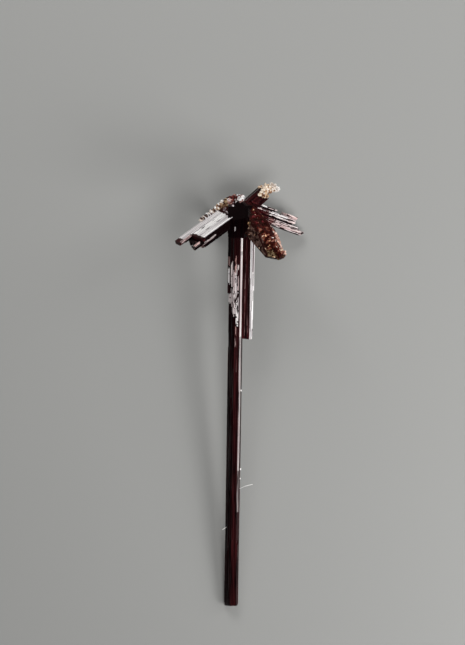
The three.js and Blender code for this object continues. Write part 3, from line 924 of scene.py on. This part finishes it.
# Each string of grains: its path, how many lumps its core has and how many grains are
# packed round it. A place on a path is x, y, z and how thick the core is there.
CREST_STRINGS = [
    ([(-2.5, 0.02, -0.42, 0.1), (-1.9, 0.42, -0.05, 0.17), (-1.2, 0.88, 0.33, 0.22)], 9, 70),
    ([(-1.2, 0.88, 0.33, 0.22), (-0.62, 1.08, 0.58, 0.25), (-0.1, 0.85, 0.7, 0.25)], 9, 75),
    ([(-0.15, 0.85, 0.7, 0.22), (0.02, 0.64, 0.74, 0.18), (-0.14, -0.08, 0.68, 0.15)], 9, 60),
    ([(-1.35, 0.5, 0.06, 0.1), (-0.95, 0.55, 0.3, 0.17), (-0.55, 0.52, 0.45, 0.16)], 7, 34),
    ([(-2.5, 0.02, -0.42, 0.1), (-2.8, -0.2, -0.56, 0.1), (-3.05, -0.4, -0.72, 0.07)], 7, 26),
]
CREST_SIZES = (0.08, 0.17)
# Mauve chips strung from it over the root of the left arm and on to the knot.
CHIP_STRINGS = [
    ([(-1.3, 0.45, 0.02, 0.1), (-1.27, 0.15, -0.14, 0.12), (-1.16, -0.25, -0.12, 0.12)], 7, 34),
    ([(-1.16, -0.25, -0.12, 0.12), (-1.12, -0.5, -0.16, 0.1)], 4, 12),
    ([(-0.62, 0.45, 0.4, 0.1), (-0.6, 0.1, 0.42, 0.08), (-0.72, -0.3, 0.36, 0.09)], 9, 26),
]
CHIP_SIZES = (0.05, 0.11)
# How many corners a grain is drawn from, and a lump of the core; how far out the corners
# lie, in sizes, and the grains round a core, in its thickness.
GRAIN_CORNERS = 12
LUMP_CORNERS = 30
CORNERS_OUT = (0.75, 1)
GRAINS_OUT = (0.75, 1.05)
CHIP_COLOURS = ["#d8ccd0", "#8a7478", "#3a2024", "#e8e0e2", "#5c4448", "#241014"]
# How far the change from one colour of the crest to the next strays.
CREST_STRAY = 0.08
# The colours met along the crest, from its left end, each up to a place in x.
CREST_COLOURS = [
    (-2.1, ["#f4f0ec", "#dcd0c4", "#ffffff", "#3a201a", "#52342a"]),
    (-1.5, ["#fbf6f0", "#d8c4a8", "#ffffff", "#4e2e22", "#a48468"]),
    (-1.05, ["#9a8060", "#644632", "#c8b08c", "#34190f", "#7c5a40"]),
    (-0.82, ["#fbeeea", "#ffffff", "#dcb8b0", "#5c2622", "#fdf4f2"]),
    (-0.4, ["#561c1a", "#7a3430", "#2e0c0c", "#c8988e", "#401212"]),
    (math.inf, ["#ffffff", "#f0e8e4", "#ffffff", "#d8ccc8", "#f8f2f0", "#8a6a66"]),
]


def any_way(rng):
    """A direction, no one likelier than another."""
    return Vector((rng.gauss(0, 1), rng.gauss(0, 1), rng.gauss(0, 1))).normalized()


def painted(mesh, colours):
    """The mesh with a colour for each face, which its material reads as tint."""
    tint = mesh.attributes.new("tint", "FLOAT_VECTOR", "FACE")
    tint.data.foreach_set("vector", [part for c in colours for part in linear(c)[:3]])
    return mesh


def grain(rng, radius, place, colour, corners=11):
    """An angular grain, in one colour."""
    shape = bmesh.new()
    for _ in range(corners):
        shape.verts.new(any_way(rng) * radius * rng.uniform(*CORNERS_OUT))
    bmesh.ops.convex_hull(shape, input=shape.verts)
    inside = [v for v in shape.verts if not v.link_faces]
    bmesh.ops.delete(shape, geom=inside, context="VERTS")
    bmesh.ops.recalc_face_normals(shape, faces=shape.faces)
    mesh = bpy.data.meshes.new("grain")
    shape.to_mesh(mesh)
    shape.free()
    mesh.transform(place)
    return painted(mesh, [colour] * len(mesh.polygons))


def along_path(path, share):
    """A place at a share of the way along a path of straight runs, and what it holds."""
    points = [Vector(point) for point in path]
    lengths = [(b - a).length for a, b in zip(points, points[1:])]
    left = share * sum(lengths)
    for start, end, length in zip(points, points[1:], lengths):
        if left <= length:
            return start.lerp(end, left / length)
        left -= length
    return points[-1]


def packed(rng, path, lumps, count, sizes, place, pick):
    """Grains packed round a lumpy core along a path, coloured by where they lie."""
    made = []
    for i in range(lumps + count):
        share = i / (lumps - 1) if i < lumps else rng.random()
        x, y, z, thickness = along_path(path, share)
        spot, size, corners = Vector((x, y, z)), thickness, LUMP_CORNERS
        if i >= lumps:
            spot += any_way(rng) * thickness * rng.uniform(*GRAINS_OUT)
            size, corners = rng.uniform(*sizes), GRAIN_CORNERS
        at = place @ Matrix.Translation(spot)
        made.append(grain(rng, size, at, pick(rng, spot), corners))
    return made


def crest_colour(rng, spot):
    """The colours there, with a ragged change from each to the next."""
    for limit, colours in CREST_COLOURS:
        if spot.x + rng.gauss(0, CREST_STRAY) < limit:
            return rng.choice(colours)


def chip_colour(rng, spot):
    return rng.choice(CHIP_COLOURS)


MOTTLING = 14
MOTTLED_DARK = linear("#3a241c")


def grain_material(name, roughness, gloss=0.5):
    """Grains of rock, each in its own colour and finely mottled: dull where they are
    broken and glassy here and there. There are some 14 mottles to the millimetre."""
    material, tree, shader = new_material(name)
    shader.inputs["Specular IOR Level"].default_value = gloss
    tint = add(tree, "Attribute", "Vector", attribute_name="tint")
    place = add(tree, "TexCoord", "Object")
    scale = MOTTLING / MM
    mottling = add(tree, "TexNoise", "Fac", {"Vector": place, "Scale": scale, "Detail": 3.0})
    shade = add(tree, "MapRange", 0, {"Value": mottling, "From Min": 0.35, "From Max": 0.65})
    darker = add(tree, "Mix", 2, {0: 0.35, 6: tint, 7: MOTTLED_DARK}, data_type="RGBA")
    mottled = add(tree, "Mix", 2, {0: shade, 6: darker, 7: tint}, data_type="RGBA")
    tree.links.new(mottled, shader.inputs["Base Color"])
    rough = add(tree, "MapRange", 0, {"Value": shade, "To Min": roughness, "To Max": 0.25})
    tree.links.new(rough, shader.inputs["Roughness"])
    bump = add(tree, "Bump", 0, {"Height": mottling, "Distance": 0.02 * MM})
    tree.links.new(bump, shader.inputs["Normal"])
    return material


rng = random.Random(5)
grains = []
for string in CREST_STRINGS:
    grains += packed(rng, *string, CREST_SIZES, Matrix(), crest_colour)
for string in CHIP_STRINGS:
    grains += packed(rng, *string, CHIP_SIZES, Matrix(), chip_colour)
crest_mesh = joined(grains)
crest_mesh.transform(LAID)
crest_stone = grain_material("feldspar_and_quartz_grains", 0.7)
piece("crest_matrix_grains", crest_mesh, crest_stone, "crest_grains")


# ---- The tip grains ----
# A sugary cluster of the same rock, quartz and feldspar in cream and tan, that caps the
# rising arm and is whiter towards its outer end.

# Each place is x, y, z in the arm's frame and how thick the core is there.
TIP_PATH = [
    (-0.42, 0.12, 1.75, 0.16),
    (-0.3, -0.18, 2.1, 0.34),
    (-0.08, 0.3, 2.15, 0.26),
    (-0.15, -0.05, 2.6, 0.37),
    (0.0, -0.2, 3.02, 0.32),
    (0.0, -0.6, 3.3, 0.2),
]
TIP_LUMPS = 13
TIP_GRAINS = 360
TIP_SIZES = (0.06, 0.15)
TIP_COLOURS = ["#e4d0ba", "#d2b494", "#efe4d8", "#b89474", "#eadcca", "#8a6448", "#6a4632"]
TIP_WHITE = ["#f4f0ec", "#d8d2cc", "#e4dad0", "#c0b0a4"]
# How far out its whiter colours start, and how far that strays.
WHITE_FROM = RISING_LENGTH + 0.35
WHITE_STRAY = 0.2


def tip_colour(rng, spot):
    whiter = spot.z + rng.gauss(0, WHITE_STRAY) > WHITE_FROM
    return rng.choice(TIP_WHITE if whiter else TIP_COLOURS)


rng = random.Random(9)
grains = packed(rng, TIP_PATH, TIP_LUMPS, TIP_GRAINS, TIP_SIZES, rising_frame, tip_colour)
tip_mesh = joined(grains)
tip_mesh.transform(LAID)
tip_stone = grain_material("sugary_quartz_grains", 0.6)
piece("tip_matrix_grains", tip_mesh, tip_stone, "tip_grains")


# ---- The rusty crust ----
# Iron oxides that coat the front arm: a rough film, thickest on its fracture and deep
# red towards its root, with crumbs along the edges. Its pale right edge and a few pale sparks are
# painted highlights.

CRUST_DEPTH = 0.06
# The film's cells, how far their corners stray, in cells, and how far the film reaches
# from the point that each face is given by.
FILM_CELL = 0.11
CELL_STRAY = 0.3
FILM_REACH = 3.1
# Each coated face: its normal, a point of it, and how much of it is coated.
COATED = [
    (FRACTURE_NORMAL, FRACTURE_START, 1.0),
    ((0, 1, 0), (0.2, 0.66, 3.0), 0.9),
    ((-1, 0, 0), (-0.66, 0, 3.2), 0.8),
    (THINNED_NORMAL, THINNED_START, 0.9),
    (NARROW_NORMAL, NARROW_START, 0.9),
]
# From here inwards the film thins out, sooner on the arm's left, down to THINNEST, in
# depths of crust, and its underside is at UNDERSIDE. It ends at the bare root's plane.
THINS_FROM = 1.15
THINS_SOONER = 1.5
THINNING = 2.5
THINNEST = -1.8
UNDERSIDE = -2
BARE_ROOT_NORMAL = Vector((-1.5, 0, -1)).normalized()
BARE_ROOT_START = (0, 0, 0.75)
# What a film is cut by lies this far under the faces that the other films coat. Then how
# wide its cut corners are, and its colour.
UNDER_FACE = 0.03
CUT_FACET = 0.03
CUT_RED = "#2a0608"
# Strings of crumbs: the path of each, how many there are and how far they stray from it.
CRUMB_PATHS = [
    ([(-0.58, 0.56, 2.9), (-0.33, 0.33, 3.9), (-0.04, 0.02, 5.15)], 70, 0.3),
    ([(-0.64, 0.42, 3.1), (-0.6, 0.05, 4.2), (-0.6, -0.36, 4.9)], 40, 0.07),
    ([(-0.3, 0.6, 3.0), (0.0, 0.5, 4.2), (0.12, 0.14, 5.15)], 46, 0.09),
    ([(0.5, 0.62, 1.4), (0.3, 0.64, 2.6), (0.1, 0.62, 3.8)], 60, 0.3),
    ([(-0.64, 0.62, 1.9), (-0.64, 0.62, 2.9)], 16, 0.06),
    ([(-0.55, -0.35, 4.8), (0.0, -0.2, 5.2), (0.45, -0.1, 5.1)], 120, 0.2),
    ([(0.5, -0.05, 5.1), (0.5, -0.42, 5.12), (-0.1, -0.44, 5.2)], 110, 0.12),
]
CRUMB_SIZES = (0.04, 0.11)
# Pale crumbs along the arm's right edge, where it thins: a painted highlight of the light on that
# side.
RIM_HIGHLIGHT_PATH = [(0.48, 0.66, 2.8), (0.16, 0.67, 3.95), (0.12, 0.6, 4.3), (0.16, 0.2, 5.15)]
PALE_CRUMBS = 40
PALE_STRAY = 0.08
PALE_SIZES = (0.04, 0.08)
# Its colours: at its root, on its left side, on its fracture and at its outer end, then
# those of its patches, and then the pale pinks of its thinned right edge, a painted highlight of
# the light on that side.
DEEP_RED = ["#0c0101", "#1a0102", "#340304", "#260204", "#44060a", "#64242a"]
BROWN = ["#180807", "#301a16", "#54403a", "#6a524a", "#4a322c", "#785e52"]
RUST = ["#140202", "#240404", "#480c08", "#6c3c2e", "#8a5c4c", "#38100a"]
OCHRE = ["#1c0604", "#2c0a06", "#4e3622", "#665038", "#3e1c10", "#7c6248"]
DARK = ["#100102", "#1e0202", "#340606", "#1a0202", "#2a0404", "#481410"]
MAUVE = ["#4a201a", "#6a3a30", "#3a120e", "#7c4c40", "#8a5c50", "#5a2c24"]
OLIVE = ["#2a1a10", "#5c4a36", "#40301f", "#7a6850", "#2c1c12", "#6a5a44"]
HIGHLIGHT_PINK = ["#8a5448", "#c89c8c", "#e8c8b8", "#b07868", "#f0dcd0"]
# How far out the root's colours end and the outer end's start, and how far both stray,
# from where on the left the left side's are, and how far out, and how far in from its
# thinned side, the pale pink of its right edge starts, a painted highlight.
ROOT_END = 2.6
OUTER_END = 4.9
END_STRAY = 0.35
LEFT_SIDE = -0.64
HIGHLIGHT_FROM = 2.8
HIGHLIGHT_DEPTH = 0.07
# How many blotches there are to the millimetre, their middle tone, how strong they are
# and how far a face strays from them.
BLOTCHES = 4
BLOTCH_TONE = 0.42
BLOTCH_STRENGTH = 0.9
BLOTCH_STRAY = 0.07
# How far out a patch's ragged edge lies, in reaches.
PATCH_EDGE = (0.8, 1.1)
# The patches: where each is, how far it reaches and its colours.
PATCHES = [
    ((0.12, 0.66, 2.7), 0.3, DARK),
    ((-0.05, 0.6, 3.3), 0.28, DARK),
    ((-0.28, 0.42, 3.85), 0.24, DARK),
    ((-0.38, 0.25, 4.35), 0.26, DARK),
    ((-0.3, 0.07, 4.86), 0.26, DARK),
    ((-0.16, -0.03, 5.24), 0.24, DARK),
    ((0.16, 0.62, 3.2), 0.3, MAUVE),
    ((-0.08, 0.56, 4.1), 0.3, MAUVE),
    ((0.0, 0.4, 4.7), 0.3, MAUVE),
    ((-0.6, -0.2, 4.8), 0.3, OLIVE),
    ((-0.35, -0.35, 5.15), 0.28, OLIVE),
    ((-0.66, 0.3, 1.85), 0.2, OLIVE),
]
# Of all its faces, the share painted pale as sparkling highlights, and their colours.
SPARK_SHARE = 0.012
SPARKS = ["#f0b098", "#f8d4b8", "#e8b888"]
# Larger sparks, pale grains that are painted glints, and among them a few tan lumps of the crust's
# own colour: where they are in the arm's frame, how large, and their colour.
GLINTS = [
    ((-0.4, 0.5, 3.63), 0.12, "#ffc49a"),
    ((-0.07, 0.62, 4.02), 0.14, "#fff0ea"),
    ((-0.06, 0.31, 4.7), 0.14, "#fff0e0"),
    ((0.12, 0.2, 5.1), 0.12, "#f4dcb8"),
    ((-0.66, 0.28, 1.79), 0.12, "#b08a68"),
    ((-0.66, 0.2, 1.95), 0.1, "#8a6048"),
    ((0.26, 0.6, 3.75), 0.08, "#e8b8a8"),
    ((0.27, 0.36, 4.35), 0.09, "#f4d0c0"),
    ((0.27, 0.14, 4.9), 0.09, "#e8c0a8"),
    ((-0.5, 0.04, 4.35), 0.08, "#c89878"),
]


def crust_colour(rng, spot):
    """One of the place's colours, in blotches some 0.25 mm across."""
    if rng.random() < SPARK_SHARE:
        return rng.choice(SPARKS)
    out = spot.z + rng.gauss(0, END_STRAY)
    if out > OUTER_END:
        colours = OCHRE
    elif spot.x < LEFT_SIDE:
        colours = BROWN
    else:
        colours = DEEP_RED if out < ROOT_END else RUST
    # Near the thinned right edge the colour is the pale pink of a painted highlight.
    if out > HIGHLIGHT_FROM and (spot - THINNED_START).dot(THINNED_NORMAL) > -HIGHLIGHT_DEPTH:
        colours = HIGHLIGHT_PINK
    for place, reach, patch in PATCHES:
        if (spot - Vector(place)).length < reach * rng.uniform(*PATCH_EDGE):
            colours = patch
    share = BLOTCH_TONE + BLOTCH_STRENGTH * noise.noise(spot * BLOTCHES)
    share += rng.gauss(0, BLOTCH_STRAY)
    return colours[min(max(int(share * len(colours)), 0), len(colours) - 1)]


def rough_film(rng, normal, point, coated):
    """A film about a plane, uneven on its outer side, in patches of colour. It dips
    under the face where the face is bare, as it is towards the arm's root."""
    place = set_on(point, normal)
    count = round(2 * FILM_REACH / FILM_CELL)
    steps = range(count + 1)
    verts, under = [], []
    for j in steps:
        for i in steps:
            x = (i + rng.uniform(-CELL_STRAY, CELL_STRAY)) * FILM_CELL - FILM_REACH
            y = (j + rng.uniform(-CELL_STRAY, CELL_STRAY)) * FILM_CELL - FILM_REACH
            spot = place @ Vector((x, y, 0))
            fade = THINNING * max(0, THINS_FROM - spot.z - THINS_SOONER * spot.x)
            height = rng.uniform(coated - 1, 1) - fade
            verts.append(place @ Vector((x, y, CRUST_DEPTH * max(height, THINNEST))))
            under.append(place @ Vector((x, y, CRUST_DEPTH * UNDERSIDE)))
    row, base = len(steps), len(verts)
    faces = []
    for j in range(count):
        for i in range(count):
            a, b = j * row + i, j * row + i + 1
            c, d = b + row, a + row
            faces += [(a, b, c), (a, c, d)]
            a, b, c, d = a + base, b + base, c + base, d + base
            faces += [(c, b, a), (d, c, a)]
    rim = list(steps) + [j * row + count for j in steps[1:]]
    rim += [count * row + i for i in steps[-2::-1]] + [j * row for j in steps[-2:0:-1]]
    for a, b in zip(rim, rim[1:] + rim[:1]):
        faces += [(b, a, a + base), (b, a + base, b + base)]
    mesh = bpy.data.meshes.new("film")
    mesh.from_pydata(verts + under, [], faces)
    return painted(mesh, [crust_colour(rng, face.center) for face in mesh.polygons])


def coated_arm(film_normal):
    """The front arm grown by the depth of the crust, for a film to be cut by, with the
    planes of the other films just under their faces. Its bare root is left out."""
    blades = []
    for x, y, to, tilt, bearing in FRONT_BLADES:
        outline = set_back(bar(x, y, CUT_FACET), -CRUST_DEPTH)
        blades.append(prism(outline, ARM_ROOT, to + CRUST_DEPTH, Matrix(), tilt, bearing))
    missing = []
    for normal, point in PLANES:
        proud = CRUST_DEPTH if normal is film_normal else -UNDER_FACE
        missing.append(beyond(normal, point + normal * proud))
    missing.append(beyond(BARE_ROOT_NORMAL, BARE_ROOT_START))
    arm = combined(joined(blades), missing, "DIFFERENCE")
    return painted(arm, [CUT_RED] * len(arm.polygons))


rng = random.Random(21)
crumbs = []
for normal, point, coated in COATED:
    film = rough_film(rng, normal, point, coated)
    crumbs.append(combined(film, [coated_arm(normal)], "INTERSECT"))
for path, count, stray in CRUMB_PATHS:
    for i in range(count):
        spot = along_path(path, i / (count - 1)) + any_way(rng) * stray * rng.random() ** 0.5
        size = rng.uniform(*CRUMB_SIZES)
        crumbs.append(grain(rng, size, Matrix.Translation(spot), crust_colour(rng, spot)))
for i in range(PALE_CRUMBS):
    spot = along_path(RIM_HIGHLIGHT_PATH, i / (PALE_CRUMBS - 1)) + any_way(rng) * PALE_STRAY
    size = rng.uniform(*PALE_SIZES)
    crumbs.append(grain(rng, size, Matrix.Translation(spot), rng.choice(HIGHLIGHT_PINK)))
for spot, size, colour in GLINTS:
    crumbs.append(grain(rng, size, Matrix.Translation(spot), colour))
crust_mesh = joined(crumbs)
crust_mesh.transform(LAID @ front_frame)
iron_oxide = grain_material("iron_oxide_crust", 0.8, 0.06)
piece("iron_crust", crust_mesh, iron_oxide, "fracture_crust")


# ---- The stage ----
# A plain pale floor, a low softbox at the right of the stem, one at the right of the
# head, one beyond the head and one overhead.

HALF_FLOOR = 0.4
floor_mesh = bpy.data.meshes.new("floor")
floor_mesh.from_pydata([(x, y, 0) for x, y in square(HALF_FLOOR)], [], [(0, 1, 2, 3)])
floor = bpy.data.objects.new("floor", floor_mesh)
bpy.context.scene.collection.objects.link(floor)
# Matt paper scatters light evenly, so that the floor shows shadows and no gloss.
paper, tree, shader = new_material("matt_paper")
shader.inputs["Base Color"].default_value = linear("#8e8e8c")
shader.inputs["Roughness"].default_value = 0.9
floor_mesh.materials.append(paper)


def softbox(name, aim, direction, distance, size, radiance):
    """A rectangular softbox that faces the aim, seen only in what it lights."""
    light = bpy.data.lights.new(name, "AREA")
    light.shape = "RECTANGLE"
    light.size, light.size_y = size
    light.energy = radiance * math.pi * size[0] * size[1]
    made = bpy.data.objects.new(name, light)
    away = Vector(direction).normalized()
    made.location = Vector(aim) + away * distance
    made.rotation_mode = "QUATERNION"
    made.rotation_quaternion = away.to_track_quat("Z", "Y")
    made.visible_camera = False
    made.visible_glossy = False
    bpy.context.scene.collection.objects.link(made)


# Each softbox: the place it aims at, the way to it from there, how far off it is, its size
# and its radiance, in metres and watts. The strip's place is its own.
SOFTBOXES = [
    ("right_strip", (0.070, -0.034, 0.052), (0.774, -0.339, 0.546), 0.0, (0.046, 0.028), 15.0),
    ("beyond_head", (0, 0.010, 0.003), (-0.2, 0.8, 0.55), 0.13, (0.08, 0.05), 9.5),
    ("right_of_head", (0, 0.012, 0.004), (0.85, 0.35, 0.45), 0.15, (0.06, 0.06), 6.5),
    ("overhead", (0, 0.005, 0.003), (0.25, -0.2, 1), 0.25, (0.15, 0.15), 5.4),
]
for box in SOFTBOXES:
    softbox(*box)

world = bpy.data.worlds.new("studio")
world.use_nodes = True
background = world.node_tree.nodes["Background"]
background.inputs["Color"].default_value = linear("#ffffff")
background.inputs["Strength"].default_value = 0.015
bpy.context.scene.world = world
bpy.context.scene.view_settings.view_transform = "Standard"

# The camera looks down on the laid crystal, with the head at the top. Its elevation and
# roll are those round the standing crystal, and its distance is in millimetres.
FRAME_SIZE = (465, 645)
FOCAL_PIXELS = 2700
TWIN_CENTRE_PIXEL = (242, 210)
SENSOR_WIDTH = 36
VIEW_ELEVATION = math.radians(16.2)
VIEW_ROLL = math.radians(0.93)
VIEW_DISTANCE = 200

towards = Vector((0, -math.cos(VIEW_ELEVATION), math.sin(VIEW_ELEVATION)))
up = Vector((0, math.sin(VIEW_ELEVATION), math.cos(VIEW_ELEVATION)))
right = Vector((1, 0, 0))
up, right = (
    math.cos(VIEW_ROLL) * up - math.sin(VIEW_ROLL) * right,
    math.cos(VIEW_ROLL) * right + math.sin(VIEW_ROLL) * up,
)
wide, high = FRAME_SIZE
x, y = TWIN_CENTRE_PIXEL
sight = Vector((x - wide / 2, high / 2 - y, -FOCAL_PIXELS))
aimed = sight.rotation_difference(Vector((0, 0, -1)))
facing = Matrix((right, up, towards)).transposed() @ aimed.to_matrix()
lens = bpy.data.cameras.new("camera")
lens.sensor_width = SENSOR_WIDTH
lens.lens = FOCAL_PIXELS / max(FRAME_SIZE) * SENSOR_WIDTH
lens.clip_start, lens.clip_end = 0.01, 10
camera = bpy.data.objects.new("camera", lens)
camera.matrix_world = (
    Matrix.Translation(LAID @ (towards * VIEW_DISTANCE))
    @ (Matrix.Rotation(LAID_TURN, 3, "X") @ facing).to_4x4()
)
bpy.context.scene.collection.objects.link(camera)
bpy.context.scene.camera = camera
